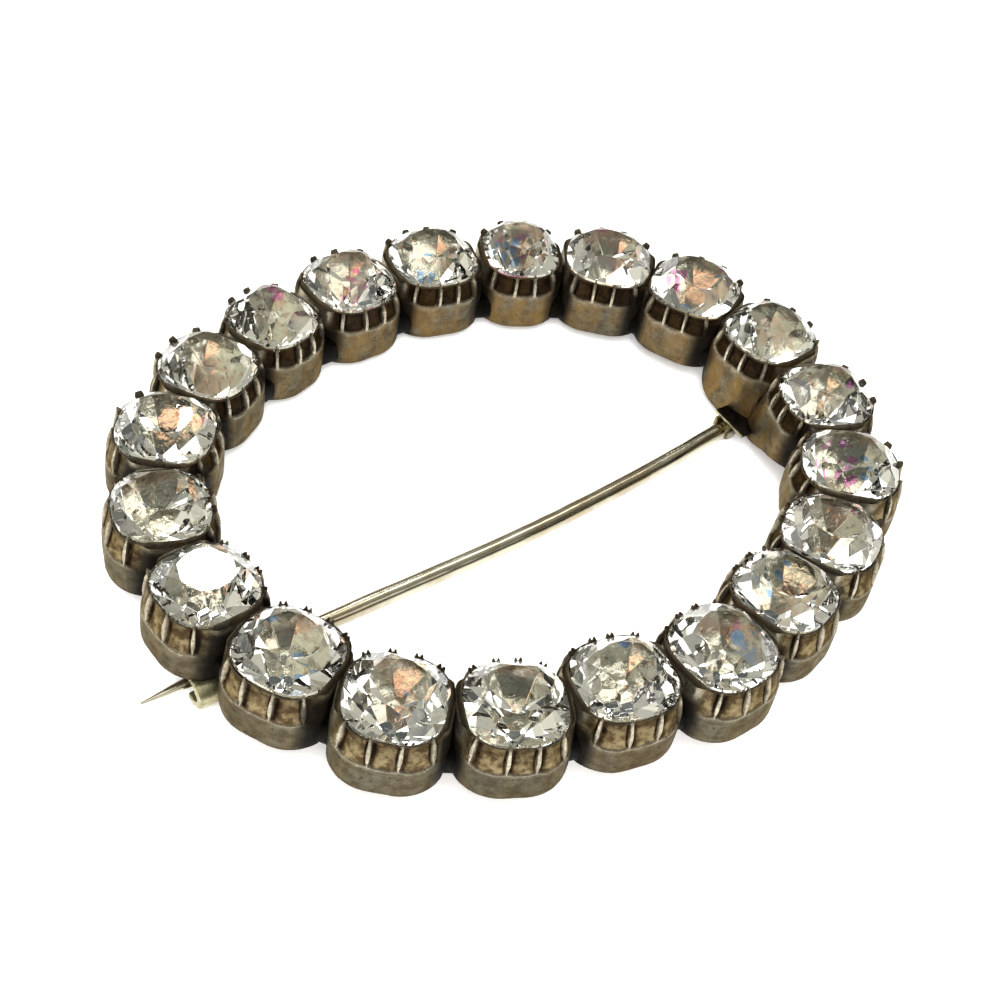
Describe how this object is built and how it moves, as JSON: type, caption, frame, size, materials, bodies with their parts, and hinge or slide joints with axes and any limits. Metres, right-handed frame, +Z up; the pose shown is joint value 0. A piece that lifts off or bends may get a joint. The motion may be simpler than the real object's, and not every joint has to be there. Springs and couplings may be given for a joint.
{
  "type": "rhinestone brooch",
  "caption": "Open oval brooch of cushion-cut paste stones in soldered closed-back collets, with a hinged pin across the back and a hook catch.",
  "frame": {"origin": "on the table under the middle of the brooch's box, the brooch lying as it rests, front up", "axes": "+X along the oval's long axis towards the pin's hinge, +Z up, away from the table"},
  "size_m": [0.0472, 0.039, 0.0076],
  "materials": {
    "silver": "tarnished hand-worked silver",
    "paste": "faceted foil-backed lead glass",
    "pin_wire": "drawn and burnished wire",
    "rivet_wire": "drawn wire, hammered ends"
  },
  "bodies": {
    "brooch": {"collet_ring": "silver", "stone_00": "paste", "stone_01": "paste", "stone_02": "paste", "stone_03": "paste", "stone_04": "paste", "stone_05": "paste", "stone_06": "paste", "stone_07": "paste", "stone_08": "paste", "stone_09": "paste", "stone_10": "paste", "stone_11": "paste", "stone_12": "paste", "stone_13": "paste", "stone_14": "paste", "stone_15": "paste", "stone_16": "paste", "stone_17": "paste", "stone_18": "paste", "stone_19": "paste", "hinge_rivet": "rivet_wire"},
    "pin": {"pin_stem": "pin_wire"}
  },
  "joints": [
    {"name": "pin_swing", "type": "hinge", "parent": "brooch", "child": "pin", "pos_m": [0.01658, -0.00134, 0.00063], "axis": [0, -0.9975, 0.0708], "range_deg": [0, 110]}
  ]
}
